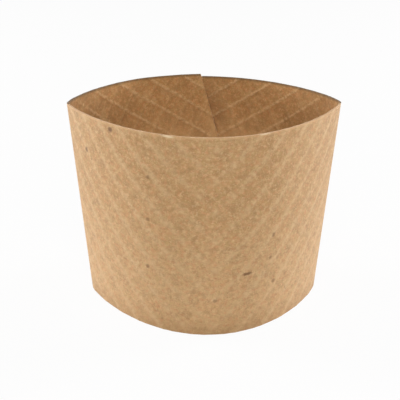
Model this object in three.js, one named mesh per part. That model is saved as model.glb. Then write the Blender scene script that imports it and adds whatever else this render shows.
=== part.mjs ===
// Kraft paperboard sleeve for a hot-drink cup, in millimetres, +Z up. One embossed blank is cut as an
// arched strip, folded at two sides and lapped at the back. It stands as an open tapered band on its
// lower edge, with its folds at -X and +X and its front towards -Y.
import * as THREE from 'three';

// The standing band, measured to the middle of the sheet
const topWidth = 80.2; // fold to fold across the upper edge
const narrowing = 10.4; // how much narrower the lower edge is
const slantHeight = 60; // from edge to edge, down the slope of a fold
const frontDepth = 35.6; // from the folds to the front of the upper edge
const backDepth = 34.4; // from the folds to the back of the upper edge

// How each half bulges: 0.5 would be half an ellipse and 1 a parabola, and lean moves it to one side
const frontFullness = 0.84;
const backFullness = 0.7;
const frontLean = 0.028;
const backLean = -0.033;

// The sheet, and the net of ridges that both its faces have, at 45 degrees to the front's middle line
const boardThickness = 0.5; // between the ridges
const ridgePitch = 6.35;
const ridgeWidth = 1.8; // from foot to foot
const ridgeHeight = 0.2; // on each face
const crossingRight = 1.75; // a crossing of ridges lies this far right of the front's middle
const crossingDown = 3.25; // and this far below its upper edge

// The lap at the back, where the inner end lies within the outer one
const innerEndPast = 0.1; // how far the top of the inner end passes the back's middle
const lapAtTop = 9;
const endSlant = THREE.MathUtils.degToRad(16); // from each cut end to the slope line at its top
const glueGap = 0.1;
const lapRamp = 14; // length over which the inner layer comes back into line
const innerEndRise = 0.95; // the inner layer stands this much high at the back's middle

// The bend tightens towards a fold, so the facets end on a line at this distance from it too
const bendReach = 3;
// A facet's corner this close to a cut or a fold is moved onto it
const cutReach = 0.12;

const taper = (topWidth - narrowing) / topWidth;
const apexReach = slantHeight / (1 - taper);
const bottomReach = apexReach - slantHeight;
const apexHeight = Math.sqrt(apexReach ** 2 - (topWidth / 2) ** 2);
const lapStep = boardThickness + 2 * ridgeHeight + glueGap;

// One half of the upper edge, from fold to fold.
class RimCurve extends THREE.Curve {
  constructor(from, depth, fullness, lean) {
    super();
    Object.assign(this, { from, depth, fullness, lean });
    this.arcLengthDivisions = 800;
  }

  getPoint(t, target = new THREE.Vector3()) {
    const angle = Math.PI * (t - 0.5);
    const across = this.from * -Math.sin(angle);
    const bulge = Math.max(Math.cos(angle), 0) ** (2 * this.fullness);
    return target.set(across * topWidth / 2, this.depth * bulge * (1 + this.lean * across), 0);
  }
}

const frontRim = new RimCurve(-1, -frontDepth, frontFullness, frontLean);
const backRim = new RimCurve(1, backDepth, backFullness, backLean);
const frontLength = frontRim.getLength();
const roundLength = frontLength + backRim.getLength();

// The spot on the upper edge at a distance from the front's middle, to the right, and the level
// direction that points out of the band there.
function rimAt(distance) {
  const along = THREE.MathUtils.euclideanModulo(distance + frontLength / 2, roundLength);
  const onFront = along < frontLength;
  const rim = onFront ? frontRim : backRim;
  const share = onFront ? along / frontLength : (along - frontLength) / (roundLength - frontLength);
  const spot = rim.getPointAt(share);
  const ahead = rim.getTangentAt(share);
  return { spot, outward: new THREE.Vector3(ahead.y, -ahead.x, 0) };
}

// The flat blank lies in x and y, with the point where its slope lines would meet at the origin and
// the front's middle line along +y. Each cut or fold gives the distance to it, positive on the side
// that is kept, and moves a near corner onto itself.
function arcCut(radius, side) {
  return {
    distance: (p) => side * (Math.hypot(p.x, p.y) - radius),
    settle(p) {
      const scale = radius / Math.hypot(p.x, p.y);
      p.set(p.x * scale, p.y * scale, p.z);
    },
  };
}

function lineCut(start, inward) {
  const distance = (p) => (p.x - start.x) * inward.x + (p.y - start.y) * inward.y;
  return { distance, settle: (p) => p.addScaledVector(inward, -distance(p)) };
}

function blankPoint(distance, reach) {
  const angle = distance / apexReach;
  return new THREE.Vector3(reach * Math.sin(angle), reach * Math.cos(angle), 0);
}

function endCut(side, distance) {
  const lean = side * (distance / apexReach - endSlant);
  const inward = new THREE.Vector3(-side * Math.cos(lean), side * Math.sin(lean), 0);
  return lineCut(blankPoint(side * distance, apexReach), inward);
}

function slopeLine(distance) {
  const angle = distance / apexReach;
  return lineCut(new THREE.Vector3(), new THREE.Vector3(Math.cos(angle), -Math.sin(angle), 0));
}

const innerEnd = endCut(-1, roundLength / 2 + innerEndPast);
const outerEnd = endCut(1, roundLength / 2 - innerEndPast + lapAtTop);

// The embossed sheet before it is cut: square cells, each a flat floor with half a ridge round it.
// A point's z is the height of the relief on either face.
function embossedSheet() {
  const rightUp = new THREE.Vector3(1, 1, 0).normalize();
  const leftUp = new THREE.Vector3(-1, 1, 0).normalize();
  const start = new THREE.Vector3(crossingRight, apexReach - crossingDown, 0);
  const points = [];
  const triangles = [];
  const crossings = new Map();
  const place = (i, j, height) => {
    const p = start.clone().addScaledVector(rightUp, i * ridgePitch).addScaledVector(leftUp, j * ridgePitch);
    p.z = height;
    return points.push(p) - 1;
  };
  const crossing = (i, j) => {
    const key = `${i},${j}`;
    if (!crossings.has(key)) {
      crossings.set(key, place(i, j, ridgeHeight));
    }
    return crossings.get(key);
  };
  const cells = Math.ceil(apexReach / ridgePitch);
  for (let i = -cells; i <= cells; i += 1) {
    for (let j = -cells; j <= cells; j += 1) {
      if (!nearBlank(start, rightUp, leftUp, i, j)) {
        continue;
      }
      const corners = [crossing(i, j), crossing(i + 1, j), crossing(i + 1, j + 1), crossing(i, j + 1)];
      const foot = ridgeWidth / 2 / ridgePitch;
      const feet = [[foot, foot], [1 - foot, foot], [1 - foot, 1 - foot], [foot, 1 - foot]];
      const floor = feet.map(([a, b]) => place(i + a, j + b, 0));
      for (let k = 0; k < 4; k += 1) {
        const next = (k + 1) % 4;
        triangles.push([corners[k], corners[next], floor[k]]);
        triangles.push([floor[k], corners[next], floor[next]]);
      }
      triangles.push([floor[0], floor[1], floor[2]], [floor[0], floor[2], floor[3]]);
    }
  }
  return { points, triangles };
}

// True for a cell whose middle is inside the blank or less than one cell outside it.
function nearBlank(start, rightUp, leftUp, i, j) {
  const middle = start.clone().addScaledVector(rightUp, (i + 0.5) * ridgePitch);
  middle.addScaledVector(leftUp, (j + 0.5) * ridgePitch);
  const reach = Math.hypot(middle.x, middle.y);
  if (reach > apexReach + ridgePitch || reach < bottomReach - ridgePitch || middle.y < 0) {
    return false;
  }
  return innerEnd.distance(middle) > -ridgePitch && outerEnd.distance(middle) > -ridgePitch;
}

// Splits the sheet's triangles along a cut or a fold. A cut drops what lies on its far side.
function splitSheet(sheet, cut, dropFarSide) {
  const { points } = sheet;
  const heights = points.map((p) => {
    const distance = cut.distance(p);
    if (Math.abs(distance) > cutReach) {
      return distance;
    }
    cut.settle(p);
    return 0;
  });
  const made = new Map();
  const between = (a, b) => {
    const key = a < b ? `${a},${b}` : `${b},${a}`;
    if (!made.has(key)) {
      const share = heights[a] / (heights[a] - heights[b]);
      const p = points[a].clone().lerp(points[b], share);
      cut.settle(p);
      made.set(key, points.push(p) - 1);
      heights.push(0);
    }
    return made.get(key);
  };
  const triangles = [];
  const keep = (ring) => {
    for (let k = 2; k < ring.length; k += 1) {
      triangles.push([ring[0], ring[k - 1], ring[k]]);
    }
  };
  for (const triangle of sheet.triangles) {
    const near = [];
    const far = [];
    triangle.forEach((a, k) => {
      const b = triangle[(k + 1) % 3];
      if (heights[a] >= 0) {
        near.push(a);
      }
      if (heights[a] <= 0) {
        far.push(a);
      }
      if (heights[a] * heights[b] < 0) {
        const middle = between(a, b);
        near.push(middle);
        far.push(middle);
      }
    });
    const nearSide = triangle.some((a) => heights[a] > 0);
    const farSide = triangle.some((a) => heights[a] < 0);
    if (nearSide) {
      keep(near);
    }
    if (farSide && !dropFarSide) {
      keep(far);
    }
  }
  return { points, triangles, onCut: heights.map((height) => height === 0) };
}

// The net is pressed flat along each fold.
function foldSheet(sheet, side) {
  let folded = sheet;
  for (const past of [-bendReach, bendReach, 0]) {
    folded = splitSheet(folded, slopeLine(side * frontLength / 2 + past), false);
  }
  folded.points.forEach((p, k) => {
    if (folded.onCut[k]) {
      p.z = 0;
    }
  });
  return folded;
}

function cutBlank() {
  let sheet = foldSheet(foldSheet(embossedSheet(), -1), 1);
  for (const cut of [innerEnd, outerEnd, arcCut(apexReach, -1), arcCut(bottomReach, 1)]) {
    sheet = splitSheet(sheet, cut, true);
  }
  return sheet;
}

// How far the inner layer lies inside the outer one: a full step under the outer layer, and less
// and less beyond its end.
function lapInset(distance, reach) {
  if (distance > 0) {
    return 0;
  }
  const under = outerEnd.distance(blankPoint(distance + roundLength, reach));
  return lapStep * THREE.MathUtils.smoothstep(under, -lapRamp, 0);
}

// The inner layer climbs from the left fold to the back's middle and on to its end.
function lapRise(distance) {
  const pastFold = Math.max(-distance - frontLength / 2, 0);
  return innerEndRise * pastFold / ((roundLength - frontLength) / 2);
}

// Stands a point of the flat blank up in the band, on the outer face (1) or the inner face (-1).
function standUp(point, face) {
  const reach = Math.hypot(point.x, point.y);
  const distance = Math.atan2(point.x, point.y) * apexReach;
  const scale = reach / apexReach;
  const { spot, outward } = rimAt(distance);
  const offset = face * (boardThickness / 2 + point.z) - lapInset(distance, reach);
  const stood = spot.multiplyScalar(scale).addScaledVector(outward, offset);
  stood.z = (scale - taper) * apexHeight + lapRise(distance);
  return stood;
}

// Closes the two faces of the blank into one solid with a wall along every cut edge.
function sleeveGeometry() {
  const { points, triangles } = cutBlank();
  const used = [...new Set(triangles.flat())];
  const place = new Map(used.map((k, n) => [k, n]));
  const outer = used.map((k) => standUp(points[k], 1));
  const inner = used.map((k) => standUp(points[k], -1));
  const positions = [...outer, ...inner].flatMap((p) => [p.x, p.y, p.z]);
  const count = used.length;
  const index = [];
  const edges = new Set();
  for (const triangle of triangles) {
    const [a, b, c] = triangle.map((k) => place.get(k));
    index.push(a, b, c, c + count, b + count, a + count);
    [[a, b], [b, c], [c, a]].forEach(([from, to]) => edges.add(`${from},${to}`));
  }
  for (const edge of edges) {
    const [a, b] = edge.split(',').map(Number);
    if (!edges.has(`${b},${a}`)) {
      index.push(b, a, a + count, b, a + count, b + count);
    }
  }
  const geometry = new THREE.BufferGeometry();
  geometry.setAttribute('position', new THREE.Float32BufferAttribute(positions, 3));
  geometry.setIndex(index);
  geometry.computeVertexNormals();
  return geometry;
}

const kraftBoard = new THREE.MeshStandardMaterial({ color: 0xb98f63, roughness: 0.92, metalness: 0 });
const sleeve = new THREE.Mesh(sleeveGeometry(), kraftBoard);
sleeve.name = 'sleeve';

const group = new THREE.Group();
group.add(sleeve);
// The origin lies on the table, under the middle of the band
group.position.y = (frontDepth - backDepth) / 2;

export default group;
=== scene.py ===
import math
import bpy
import numpy as np
from mathutils import Matrix, Vector


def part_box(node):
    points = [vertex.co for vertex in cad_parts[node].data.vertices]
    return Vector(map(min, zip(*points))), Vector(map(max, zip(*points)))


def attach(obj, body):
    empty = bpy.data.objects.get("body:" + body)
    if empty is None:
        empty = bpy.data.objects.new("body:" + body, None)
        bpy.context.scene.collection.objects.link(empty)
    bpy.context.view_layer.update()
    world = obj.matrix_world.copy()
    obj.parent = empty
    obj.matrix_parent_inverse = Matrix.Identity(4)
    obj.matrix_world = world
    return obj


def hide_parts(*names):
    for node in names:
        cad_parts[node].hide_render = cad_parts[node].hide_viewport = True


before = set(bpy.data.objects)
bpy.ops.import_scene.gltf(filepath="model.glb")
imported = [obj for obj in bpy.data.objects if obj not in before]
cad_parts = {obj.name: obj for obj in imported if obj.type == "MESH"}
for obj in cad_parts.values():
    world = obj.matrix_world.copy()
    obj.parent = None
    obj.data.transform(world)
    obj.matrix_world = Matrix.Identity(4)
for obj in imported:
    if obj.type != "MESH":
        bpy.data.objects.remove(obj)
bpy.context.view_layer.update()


# The camera stands a little to the left of the front and looks down at the middle of the sleeve at
# about twenty degrees, so that the back's inside shows.
band_middle = Vector((0.0, 0.00065, 0.0299))
camera_distance = 0.26552
camera_height = math.radians(20.8)
camera_turn = math.radians(-1.92)
camera_roll = math.radians(-0.32)
focal_pixels = 867.6
photo_pixels = 400
axis_pixel = (204.14, 197.47)

away = Vector((
    math.sin(camera_turn) * math.cos(camera_height),
    -math.cos(camera_turn) * math.cos(camera_height),
    math.sin(camera_height),
))
level_right = Vector((math.cos(camera_turn), math.sin(camera_turn), 0.0))
level_up = away.cross(level_right)
right = level_right * math.cos(camera_roll) - level_up * math.sin(camera_roll)
up = level_right * math.sin(camera_roll) + level_up * math.cos(camera_roll)

camera_data = bpy.data.cameras.new("camera")
camera_data.sensor_width = 36.0
camera_data.lens = focal_pixels / photo_pixels * camera_data.sensor_width
camera_data.shift_x = (photo_pixels / 2 - axis_pixel[0]) / photo_pixels
camera_data.shift_y = (axis_pixel[1] - photo_pixels / 2) / photo_pixels
camera_data.clip_start = 0.01
camera = bpy.data.objects.new("camera", camera_data)
turned = Matrix((right, up, away)).transposed().to_4x4()
camera.matrix_world = Matrix.Translation(band_middle + away * camera_distance) @ turned
bpy.context.scene.collection.objects.link(camera)
bpy.context.scene.camera = camera


# The sleeve: one blank of uncoated kraft board, embossed with a net of fine ridges, die-cut as an
# arched strip with slanted ends, creased in two places, rolled round and glued at the back, where
# the inner end lies within the outer one. It stands on its narrow edge and is open at both ends.
MM = 0.001
low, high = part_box("sleeve")
board = 0.5 * MM
top_width = (high.x - low.x) - board
narrowing = 10.4 * MM
slant_height = 60 * MM
front_depth = 35.6 * MM
back_depth = 34.4 * MM
front_fullness = 0.84
back_fullness = 0.7
front_lean = 0.028
back_lean = -0.033
rim_points = 4001
taper = (top_width - narrowing) / top_width
apex_reach = slant_height / (1 - taper)
bottom_reach = apex_reach - slant_height
apex_height = math.sqrt(apex_reach ** 2 - (top_width / 2) ** 2)
fold_line_y = (front_depth - back_depth) / 2


def half_rim(depth, fullness, lean):
    """Half of the upper edge, from the left fold to the right one. With s the sine of an angle that
    runs a half turn, x is half the width times s, and y is the depth times 1 - s squared to the
    power of the fullness, times 1 + lean times s."""
    angle = np.linspace(-np.pi / 2, np.pi / 2, rim_points)
    across = np.sin(angle)
    bulge = np.clip(np.cos(angle), 0, 1) ** (2 * fullness)
    return np.stack([top_width / 2 * across, depth * bulge * (1 + lean * across)], axis=1)


def arc_run(spots):
    """The distance along a chain of points, from its first point to each point."""
    steps = np.linalg.norm(np.diff(spots, axis=0), axis=1)
    return np.concatenate([[0.0], np.cumsum(steps)])


front_rim = half_rim(-front_depth, front_fullness, front_lean)
back_rim = half_rim(back_depth, back_fullness, back_lean)
front_length = arc_run(front_rim)[-1]
round_rim = np.concatenate([front_rim, back_rim[::-1][1:]])
rim_run = arc_run(round_rim)
round_length = rim_run[-1]
rim_ahead = np.gradient(round_rim, axis=0)
rim_ahead /= np.linalg.norm(rim_ahead, axis=1)[:, None]


def rim_at(distance):
    """The point of the upper edge and the level direction out of the band, at a distance from the
    front's middle to the right, which wraps round the rim. Both are read off the rim's chain."""
    along = np.mod(distance + front_length / 2, round_length)
    spot = np.stack([np.interp(along, rim_run, round_rim[:, k]) for k in (0, 1)], axis=-1)
    ahead = np.stack([np.interp(along, rim_run, rim_ahead[:, k]) for k in (0, 1)], axis=-1)
    outward = np.stack([ahead[..., 1], -ahead[..., 0]], axis=-1)
    outward /= np.linalg.norm(outward, axis=-1)[..., None]
    return spot, outward


# The net is pressed into both faces. Its ridges are lower than the solid's, 1 outside and -1 inside,
# so that they shade as softly as real ones, and the layers of the lap stay as far apart as the
# solid's. Both ends are cut slanted, and the inner layer climbs a little towards its end.
ridge_pitch = 6.35 * MM
ridge_spread = 0.62 * MM
ridge_height = 0.2 * MM
ridge_seen = {1: 0.1 * MM, -1: 0.16 * MM}
crossing_right = 1.75 * MM
crossing_down = 3.25 * MM
crease_flat = 0.3 * MM
crease_fade = 1.6 * MM
end_slant = math.radians(16)
inner_end_past = 0.1 * MM
inner_end_rise = 0.95 * MM
lap_at_top = 9 * MM
lap_ramp = 14 * MM
glue_gap = 0.1 * MM
lap_step = board + 2 * ridge_height + glue_gap


def slanted_end(top_distance, reach):
    """Where a slanted end lies, as a distance along the rim. A straight cut that makes the slant
    angle with the slope line at its top turns by arcsin(apex reach * sin(slant) / reach) - slant."""
    turn = np.arcsin(apex_reach * math.sin(end_slant) / reach) - end_slant
    return top_distance + apex_reach * turn


def inner_end(reach):
    """The end of the inner layer, which comes from the left, just past the back's middle."""
    return -slanted_end(round_length / 2 + inner_end_past, reach)


def outer_end(reach):
    """The end of the outer layer, which comes from the right and passes the inner one by the lap."""
    return slanted_end(round_length / 2 - inner_end_past + lap_at_top, reach)


def smooth(value):
    """The smooth step 3t^2 - 2t^3 of a value cut to 0 to 1."""
    t = np.clip(value, 0, 1)
    return t * t * (3 - 2 * t)


def on_blank(distance, reach):
    """The place on the flat blank of a point at a distance along the rim and a reach from the apex:
    turned by distance / apex reach about the apex, with y 0 at the top of the front's middle."""
    angle = distance / apex_reach
    return reach * np.sin(angle), reach * np.cos(angle) - apex_reach


def net_relief(x, y):
    """The height of the net on the flat blank. Each of its two families of lines, at 45 degrees,
    is a bell of the distance to its nearest line, and the two join as 1 - (1 - a)(1 - b)."""
    bells = []
    for way in (1, -1):
        turns = (way * (x - crossing_right) + (y + crossing_down)) / (math.sqrt(2) * ridge_pitch)
        gap = np.abs(turns - np.round(turns)) * ridge_pitch
        bells.append(np.exp(-(gap / ridge_spread) ** 2))
    return 1 - (1 - bells[0]) * (1 - bells[1])


def stand_up(distance, reach, face):
    """The blank stood up in the band. A point at a distance along the rim and a reach from the
    apex is the rim's point scaled by reach / apex reach, moved out by half the board and the
    relief, and moved in under the lap. The inner layer climbs towards its end."""
    scale = reach / apex_reach
    from_fold = np.abs(np.abs(distance) - front_length / 2) * scale
    pressed_flat = smooth((from_fold - crease_flat) / crease_fade)
    relief = ridge_seen[face] * net_relief(*on_blank(distance, reach)) * pressed_flat
    under = (outer_end(reach) - distance - round_length) * scale * math.cos(end_slant)
    inset = np.where(distance < 0, lap_step * smooth(under / lap_ramp + 1), 0)
    past_fold = np.clip(-distance - front_length / 2, 0, None)
    rise = inner_end_rise * past_fold / ((round_length - front_length) / 2)
    offset = face * (board / 2 + relief) - inset
    spot, outward = rim_at(distance)
    level = spot * scale[..., None] + outward * offset[..., None]
    height = (scale - taper) * apex_height + rise
    return np.stack([level[..., 0], level[..., 1] + fold_line_y, height], axis=-1)


# The look of the board is laid out on the blank in millimetres, and the pattern of its outer face
# lies this far above the middle of the noise, with that of its inner face as far below.
face_level = 40.0


def blank_marks(distance, reach, face):
    """The place of a point on the flat blank with its face's level, and its distances from the end
    of the inner layer, square to that end, and from the upper edge, all in millimetres."""
    x, y = on_blank(distance, reach)
    flat = np.stack([x / MM, y / MM, face * face_level + 0 * x], axis=-1)
    turned_back = np.where(distance < 0, distance, distance - round_length)
    from_seam = (turned_back - inner_end(reach)) * (reach / apex_reach) * math.cos(end_slant) / MM
    edges = np.stack([from_seam, (apex_reach - reach) / MM, 0 * x], axis=-1)
    return flat, edges


def blank_grid(left_columns, front_columns, right_columns, rows):
    """Distances and reaches of a grid on the blank, with its columns spread evenly from the inner
    end to the left fold, on to the right fold, and on to the outer end."""
    reach = np.linspace(bottom_reach, apex_reach, rows + 1)[None, :]
    fold = front_length / 2
    stretches = []
    for start, stop, columns in (
        (inner_end(reach), -fold, left_columns),
        (-fold, fold, front_columns),
        (fold, outer_end(reach), right_columns),
    ):
        share = np.linspace(0, 1, columns + 1)[:-1, None]
        stretches.append(start + (stop - start) * share)
    stretches.append(outer_end(reach))
    distance = np.concatenate([s + 0 * reach for s in stretches])
    return distance, reach + 0 * distance


# Cut faces are marked pale, and along the back's upper edge for painted shade
pale_cut = 0.5
shaded_cut = 1.0
shaded_cut_before_fold = 1.5 * MM


def sleeve_mesh():
    """The board as one closed skin. Each column of the grid runs up the outer face and down the
    inner one, which makes a ring, and the rings join to the next ones. Both ends are capped, and
    the cut edge is marked as pale, or along the back's upper edge for dark brown painted shade."""
    distance, reach = blank_grid(left_columns=105, front_columns=200, right_columns=120, rows=108)
    outside, inside = (
        (stand_up(distance, reach, face), *blank_marks(distance, reach, face)) for face in (1, -1)
    )
    rings, flats, edges = (
        np.concatenate([outer, inner[:, ::-1]], axis=1) for outer, inner in zip(outside, inside)
    )
    columns, ring, _ = rings.shape
    number = np.arange(columns * ring).reshape(columns, ring)
    onward = np.roll(number, -1, axis=1)
    skin = np.stack([number[:-1], number[1:], onward[1:], onward[:-1]], axis=-1)
    side = ring // 2
    # the back's upper cut edge carries painted shade
    at_back = np.abs(distance[:-1, -1]) > front_length / 2 - shaded_cut_before_fold
    cut = np.zeros(skin.shape[:2])
    cut[:, side - 1] = np.where(at_back, shaded_cut, pale_cut)
    cut[:, ring - 1] = pale_cut
    caps = []
    for column, last in ((number[0], False), (number[-1], True)):
        up_side = column[:side]
        down_side = column[::-1][:side]
        cap = np.stack([up_side[:-1], up_side[1:], down_side[1:], down_side[:-1]], axis=-1)
        caps.append(cap[:, ::-1] if last else cap)
    faces = np.concatenate([skin.reshape(-1, 4)] + caps)
    cuts = np.concatenate([cut.ravel(), np.full(2 * (side - 1), pale_cut)])

    mesh = bpy.data.meshes.new("board_sleeve")
    mesh.from_pydata(rings.reshape(-1, 3), [], faces.tolist())
    for name, kind, domain, field, values in (
        ("blank", "FLOAT_VECTOR", "POINT", "vector", flats),
        ("edges", "FLOAT_VECTOR", "POINT", "vector", edges),
        ("cut_edge", "FLOAT", "FACE", "value", cuts),
    ):
        mesh.attributes.new(name, kind, domain).data.foreach_set(field, values.ravel())
    mesh.polygons.foreach_set("use_smooth", np.ones(len(faces), dtype=bool))
    mesh.set_sharp_from_angle(angle=math.radians(50))
    mesh.update()
    return mesh


sleeve = bpy.data.objects.new("board_sleeve", sleeve_mesh())
bpy.context.scene.collection.objects.link(sleeve)


def kraft_board_material():
    """Uncoated kraft board, in layers from the pulp to the marks of use. Each layer blends a colour
    over those below it by a share, and lengths are in millimetres on the blank."""
    material = bpy.data.materials.new("kraft_board")
    material.use_nodes = True
    tree = material.node_tree
    tree.nodes.clear()

    def node(kind, inputs, **settings):
        made = tree.nodes.new(kind)
        for key, value in settings.items():
            setattr(made, key, value)
        for key, value in inputs.items():
            if isinstance(value, bpy.types.NodeSocket):
                tree.links.new(value, made.inputs[key])
            else:
                made.inputs[key].default_value = value
        return made

    def worked_out(operation, a, b=0.0, c=0.0):
        return node("ShaderNodeMath", {0: a, 1: b, 2: c}, operation=operation).outputs[0]

    def times(a, b):
        return worked_out("MULTIPLY", a, b)

    def plus(a, b):
        return worked_out("ADD", a, b)

    def blend(share, under, over, way="MIX"):
        under, over = (
            colour if isinstance(colour, bpy.types.NodeSocket) else (*colour, 1)
            for colour in (under, over)
        )
        inputs = {0: share, 6: under, 7: over}
        return node("ShaderNodeMix", inputs, data_type="RGBA", blend_type=way).outputs[2]

    def ranged(value, low_in, high_in, low_out=0.0, high_out=1.0, curve="SMOOTHSTEP"):
        inputs = {0: value, 1: low_in, 2: high_in, 3: low_out, 4: high_out}
        return node("ShaderNodeMapRange", inputs, interpolation_type=curve).outputs[0]

    def noise(scale, detail=2.0, roughness=0.5, stretch=(1, 1, 1), turn=0.0):
        placed = node("ShaderNodeMapping", {"Vector": blank, "Rotation": (0, 0, turn), "Scale": stretch})
        inputs = {"Vector": placed.outputs[0], "Scale": scale, "Detail": detail, "Roughness": roughness}
        return node("ShaderNodeTexNoise", inputs).outputs[0]

    def apart_from(x, y, half_length, half_width):
        """The distance on the outer face from a place, 1 at the edge of an oval round it."""
        shape = (1 / half_length, 1 / half_width, 1)
        placed = node("ShaderNodeMapping", {"Vector": blank, "Scale": shape}).outputs[0]
        centre = (x / half_length, y / half_width, face_level)
        inputs = {0: placed, 1: centre}
        return node("ShaderNodeVectorMath", inputs, operation="DISTANCE").outputs["Value"]

    blank = node("ShaderNodeAttribute", {}, attribute_name="blank").outputs["Vector"]
    cut_edge = node("ShaderNodeAttribute", {}, attribute_name="cut_edge").outputs["Fac"]
    edges = node("ShaderNodeAttribute", {}, attribute_name="edges").outputs["Vector"]
    blank_x, blank_y, face_side = node("ShaderNodeSeparateXYZ", {0: blank}).outputs
    from_seam, from_rim, _ = node("ShaderNodeSeparateXYZ", {0: edges}).outputs
    from_middle = worked_out("ABSOLUTE", blank_x)
    inner_face = worked_out("LESS_THAN", face_side, 0.0)
    outer_face = worked_out("SUBTRACT", 1.0, inner_face)

    # The net's lines are painted as highlights on its ridges. They wander a little and fade in places,
    # as a worn roller presses them. The first family is the clearer one on one half of the blank and
    # the second on the other half, which swaps between the faces, as light picks out one family of
    # ridges on each side, and where two lines cross there is a brighter bead: all painted highlight
    wander_width = 0.18
    wander = times(noise(0.55, 3.0, 0.6), wander_width)
    right_half = ranged(blank_x, -9.0, 9.0)
    second_family_lit = worked_out("ABSOLUTE", worked_out("SUBTRACT", right_half, inner_face))
    line_width = ranged(inner_face, 0.0, 1.0, 0.24, 0.105)
    diagonal = ridge_pitch / MM * math.sqrt(2)
    whole_lines = []
    highlit_lines = []
    for way, where_first, where_second in ((1, 1.0, 0.3), (-1, 0.3, 1.0)):
        start = (crossing_down - way * crossing_right) / MM / diagonal - wander_width / 2
        turns = times(plus(times(blank_x, way), blank_y), 1 / diagonal)
        gap = worked_out("PINGPONG", plus(plus(turns, wander), start), 0.5)
        line = ranged(gap, 0.02, line_width, 1.0, 0.0, "LINEAR")
        whole_lines.append(line)
        highlit_lines.append(times(line, ranged(second_family_lit, 0.0, 1.0, where_first, where_second)))
    outside_wear = times(
        ranged(noise(0.75, 3.0, 0.75), 0.41, 0.58, 0.14, 1.0),
        ranged(from_middle, 3.0, 20.0, 0.5, 1.0),
    )
    inside_wear = times(
        ranged(noise(0.9, 3.0, 0.7), 0.39, 0.6, 0.12, 1.0),
        ranged(from_middle, 60.0, 82.0, 0.35, 1.0),
    )
    wear = plus(times(outside_wear, outer_face), times(inside_wear, inner_face))
    # the net's lines as painted highlight, faded by the wear
    net_highlight = times(worked_out("MAXIMUM", *highlit_lines), wear)
    net_highlight = worked_out("MAXIMUM", net_highlight, times(times(*whole_lines), 0.8))

    # Pulp: soft clouds, a mottle, a grain of light and dark, specks, and short curled fibres
    clouds = noise(0.14)
    mottle = noise(0.38, 3.0, 0.62)
    tint = noise(0.33, 3.0, 0.6)
    fine_tint = noise(0.9, 2.0)
    grain = noise(0.85, 3.0, 0.6)
    speck = noise(2.3, 1.0)
    curls = []
    for turn, stretch in ((0.4, (0.7, 1.2, 1)), (-0.8, (1.2, 0.7, 1))):
        field = noise(0.75, 1.0, 0.5, stretch, turn)
        off = worked_out("ABSOLUTE", worked_out("SUBTRACT", field, 0.5))
        short = ranged(noise(0.8, 1.0, 0.5, turn=turn + 2.0), 0.52, 0.6)
        curls.append(times(ranged(off, 0.012, 0.035, 1.0, 0.0), short))

    kraft = (0.448, 0.256, 0.107)
    pale = (0.66, 0.43, 0.225)
    deep = (0.30, 0.165, 0.066)
    warm = (0.56, 0.30, 0.132)
    olive = (0.43, 0.295, 0.128)
    rusty = (0.57, 0.285, 0.13)
    mustard = (0.53, 0.34, 0.135)
    pale_fibre = (0.74, 0.52, 0.29)
    straw = (0.80, 0.60, 0.36)
    # The outer face is painted paler towards its lower part, as painted light
    colour = blend(times(ranged(from_rim, 12.0, 50.0, 0.0, 0.52), outer_face), kraft, pale)
    for share, tone in (
        (ranged(clouds, 0.3, 0.7, 0.0, 0.2), pale),
        (ranged(tint, 0.5, 0.66, 0.0, 0.45), warm),
        (ranged(tint, 0.5, 0.36, 0.0, 0.25), olive),
        (ranged(fine_tint, 0.5, 0.66, 0.0, 0.65), rusty),
        (ranged(fine_tint, 0.5, 0.33, 0.0, 0.45), mustard),
        (ranged(mottle, 0.5, 0.34, 0.0, 0.32), deep),
        (ranged(grain, 0.48, 0.34, 0.0, 0.28), deep),
        (ranged(grain, 0.5, 0.68, 0.0, 0.54), pale),
        (times(curls[0], 0.3), pale_fibre),
        (times(curls[1], 0.25), deep),
        (ranged(speck, 0.62, 0.74, 0.0, 0.32), straw),
        (ranged(speck, 0.36, 0.28, 0.0, 0.5), deep),
    ):
        colour = blend(share, colour, tone)

    # The outer face is paler just under the rim and has painted shade along its foot, next to the
    # floor, and its net carries a faint painted highlight
    under_rim_tan = (0.74, 0.46, 0.235)
    outer_ridge_highlight_tan = (0.64, 0.435, 0.235)
    ragged_rim = plus(from_rim, times(grain, 1.2))
    for share, tone in (
        (ranged(ragged_rim, 1.4, 0.6, 0.0, 0.45), under_rim_tan),
        # painted shade along the foot, next to the floor
        (ranged(from_rim, 53.0, 61.0, 0.0, 0.4), deep),
        # painted highlight on the outer face's net
        (times(net_highlight, 0.66), outer_ridge_highlight_tan),
    ):
        colour = blend(times(share, outer_face), colour, tone)

    # The inner face is browner, with painted shade near the folds, soft dark and pale patches, and
    # painted highlight on its lines. Along the glued end of the inner layer the board is paler, and
    # painted shadow darkens the face beyond it, where that end's step casts it
    browner = (1.06, 0.94, 0.78)
    fold_shade = (0.76, 0.75, 0.70)
    lower_tan = (0.66, 0.39, 0.17)
    dark_patch = (0.30, 0.155, 0.058)
    pale_patch = (0.68, 0.44, 0.21)
    inner_ridge_highlight_tan = (0.78, 0.50, 0.245)
    glued_tan = (0.70, 0.43, 0.18)
    seam_shadow_brown = (0.24, 0.115, 0.042)
    patches = noise(0.24, 3.0, 0.65)
    by_fold = times(ranged(from_middle, 48.0, 56.0), ranged(from_middle, 66.0, 88.0, 0.8, 0.0))
    # painted highlight on the inner face's lines, which the bump also raises a little
    inner_line_highlight = times(net_highlight, times(inner_face, 0.68))
    on_end = times(ranged(from_seam, 0.0, 0.2), ranged(from_seam, 1.1, 2.0, 1.0, 0.0))
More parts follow.
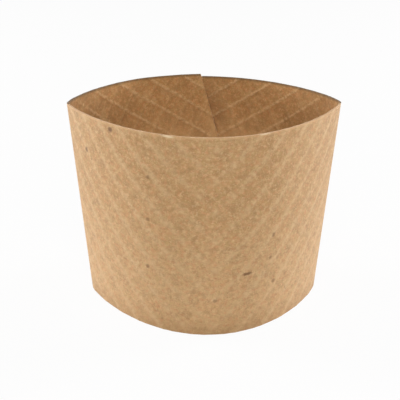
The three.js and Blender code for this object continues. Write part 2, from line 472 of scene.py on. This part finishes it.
    # painted shadow beside the inner layer's end, on the face beyond it
    past_end = times(ranged(from_seam, -7.5, -1.0), ranged(from_seam, -0.05, 0.1, 1.0, 0.0))
    seam_shadow_height = times(ranged(from_rim, 1.0, 8.0, 0.35, 1.0), ranged(from_rim, 13.0, 22.0, 1.0, 0.0))
    seam_shadow = times(times(seam_shadow_height, past_end), ranged(mottle, 0.35, 0.6, 0.2, 0.6))
    for share, tone, way in (
        (1.0, browner, "MULTIPLY"),
        (ranged(from_rim, 8.0, 24.0, 0.0, 0.45), lower_tan, "MIX"),
        (by_fold, fold_shade, "MULTIPLY"),
        (ranged(patches, 0.48, 0.64, 0.0, 0.22), dark_patch, "MIX"),
        (ranged(patches, 0.48, 0.35, 0.0, 0.22), pale_patch, "MIX"),
        (inner_line_highlight, inner_ridge_highlight_tan, "MIX"),
        (times(on_end, 0.14), glued_tan, "MIX"),
        (seam_shadow, seam_shadow_brown, "MIX"),
    ):
        colour = blend(times(share, inner_face), colour, tone, way)

    # Flecks of bark in the outer face: place, half length and half width, and strength
    bark = (0.165, 0.08, 0.034)
    for x, y, half_length, half_width, strength in (
        (-30.4, -2.7, 1.15, 1.05, 0.85),
        (-43.0, -12.8, 0.95, 0.9, 0.75),
        (-17.2, -13.0, 0.8, 0.8, 0.55),
        (-17.6, -25.8, 0.8, 0.8, 0.55),
        (-17.9, -40.6, 0.85, 0.85, 0.6),
        (11.2, -41.4, 1.8, 0.75, 0.85),
        (19.5, -31.4, 0.8, 0.8, 0.55),
        (18.8, -38.2, 0.75, 0.7, 0.5),
        (20.3, -46.5, 0.8, 0.8, 0.5),
        (1.8, -48.8, 0.8, 0.8, 0.5),
    ):
        ragged = plus(apart_from(x, y, half_length, half_width), times(grain, 0.8))
        colour = blend(ranged(ragged, 0.75, 1.45, strength, 0.0), colour, bark)

    # The cut edge is a paler orange tan, chipped in two places at the front. Along the back's upper
    # edge it is painted dark brown as shade, as is a thin line of the inner face beside it
    cut_tan = (0.80, 0.51, 0.27)
    cut_shade_brown = (0.185, 0.105, 0.046)
    beside_cut_shade_brown = (0.17, 0.105, 0.045)
    chip_tan = (0.84, 0.66, 0.42)
    beside_cut_shade = times(ranged(from_rim, 0.9, 0.2), ranged(from_middle, 56.0, 58.0))
    for share, tone in (
        (times(beside_cut_shade, times(inner_face, 0.65)), beside_cut_shade_brown),
        (times(worked_out("COMPARE", cut_edge, pale_cut, 0.1), 0.9), cut_tan),
        (times(worked_out("COMPARE", cut_edge, shaded_cut, 0.1), 0.92), cut_shade_brown),
    ):
        colour = blend(share, colour, tone)
    chip_half_length = 20 / 9
    chip_half_width = 5 / 12
    for x, y in ((-11.1, -0.4), (15.1, -0.3)):
        apart = apart_from(x, y, chip_half_length, chip_half_width)
        colour = blend(ranged(apart, 0.3, 1.0, 0.85, 0.0), colour, chip_tan)

    height = times(grain, 0.075)
    for field, share in ((speck, 0.02), (mottle, 0.04), (curls[0], 0.02), (inner_line_highlight, 0.12)):
        height = plus(height, times(field, share))
    bump = node("ShaderNodeBump", {"Strength": 1.0, "Distance": 0.001, "Height": height})

    surface = node("ShaderNodeBsdfPrincipled", {
        "Base Color": colour,
        "Roughness": ranged(mottle, 0.3, 0.7, 0.8, 0.92),
        "Normal": bump.outputs[0],
        "IOR": 1.4,
        "Sheen Weight": 0.12,
        "Sheen Roughness": 0.45,
    })
    node("ShaderNodeOutputMaterial", {"Surface": surface.outputs[0]})
    return material


sleeve.data.materials.append(kraft_board_material())
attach(sleeve, "root")
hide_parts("sleeve")


# The studio: a plain white sweep under and behind the sleeve, which the camera sees as white, in a
# dim white room, with soft lights from both sides and from above the front.
floor_size = 12.0
floor_white = (0.9, 0.9, 0.9, 1)
floor_roughness = 0.9
floor_glow_seen = 0.93
room_light = 0.3
room_seen = 1.0

floor_mesh = bpy.data.meshes.new("floor")
half = floor_size / 2
corners = [(-half, -half, 0), (half, -half, 0), (half, half, 0), (-half, half, 0)]
floor_mesh.from_pydata(corners, [], [(0, 1, 2, 3)])
floor = bpy.data.objects.new("floor", floor_mesh)
bpy.context.scene.collection.objects.link(floor)


def seen_straight(tree):
    """1 for rays from the camera and for reflected and refracted ones, and 0 for all others."""
    path = tree.nodes.new("ShaderNodeLightPath")
    seen = path.outputs["Is Camera Ray"]
    for kind in ("Is Glossy Ray", "Is Transmission Ray"):
        either = tree.nodes.new("ShaderNodeMath")
        either.operation = "MAXIMUM"
        tree.links.new(seen, either.inputs[0])
        tree.links.new(path.outputs[kind], either.inputs[1])
        seen = either.outputs[0]
    return seen


def white_sweep_material():
    """A matt white that catches the shadow, mixed with a white glow for the rays that see it."""
    material = bpy.data.materials.new("white_sweep")
    material.use_nodes = True
    tree = material.node_tree
    matt = tree.nodes["Principled BSDF"]
    matt.inputs["Base Color"].default_value = floor_white
    matt.inputs["Roughness"].default_value = floor_roughness
    glow = tree.nodes.new("ShaderNodeEmission")
    glow.inputs["Strength"].default_value = 1.0
    share = tree.nodes.new("ShaderNodeMath")
    share.operation = "MULTIPLY"
    share.inputs[1].default_value = floor_glow_seen
    mixed = tree.nodes.new("ShaderNodeMixShader")
    tree.links.new(seen_straight(tree), share.inputs[0])
    tree.links.new(share.outputs[0], mixed.inputs[0])
    tree.links.new(matt.outputs[0], mixed.inputs[1])
    tree.links.new(glow.outputs[0], mixed.inputs[2])
    tree.links.new(mixed.outputs[0], tree.nodes["Material Output"].inputs["Surface"])
    return material


floor_mesh.materials.append(white_sweep_material())

world = bpy.data.worlds.new("studio")
world.use_nodes = True
room = world.node_tree.nodes["Background"]
room.inputs["Color"].default_value = (1, 1, 1, 1)
strength = world.node_tree.nodes.new("ShaderNodeMapRange")
strength.inputs["To Min"].default_value = room_light
strength.inputs["To Max"].default_value = room_seen
world.node_tree.links.new(seen_straight(world.node_tree), strength.inputs["Value"])
world.node_tree.links.new(strength.outputs[0], room.inputs["Strength"])
bpy.context.scene.world = world


def soft_light(name, place, size, power):
    """A round soft light that points at the middle of the sleeve's height."""
    lamp = bpy.data.lights.new(name, "AREA")
    lamp.shape = "DISK"
    lamp.size = size
    lamp.energy = power
    made = bpy.data.objects.new(name, lamp)
    made.location = place
    sleeve_middle = Vector((0, 0, 0.03))
    made.rotation_euler = (sleeve_middle - Vector(place)).to_track_quat("-Z", "Y").to_euler()
    bpy.context.scene.collection.objects.link(made)


soft_light("left_softbox", (-0.80, 0.34, 0.14), 0.42, 7.4)
soft_light("right_softbox", (0.80, 0.34, 0.14), 0.42, 7.2)
soft_light("front_softbox", (0.0, -0.84, 0.66), 0.6, 5.05)

bpy.context.scene.view_settings.view_transform = "Standard"
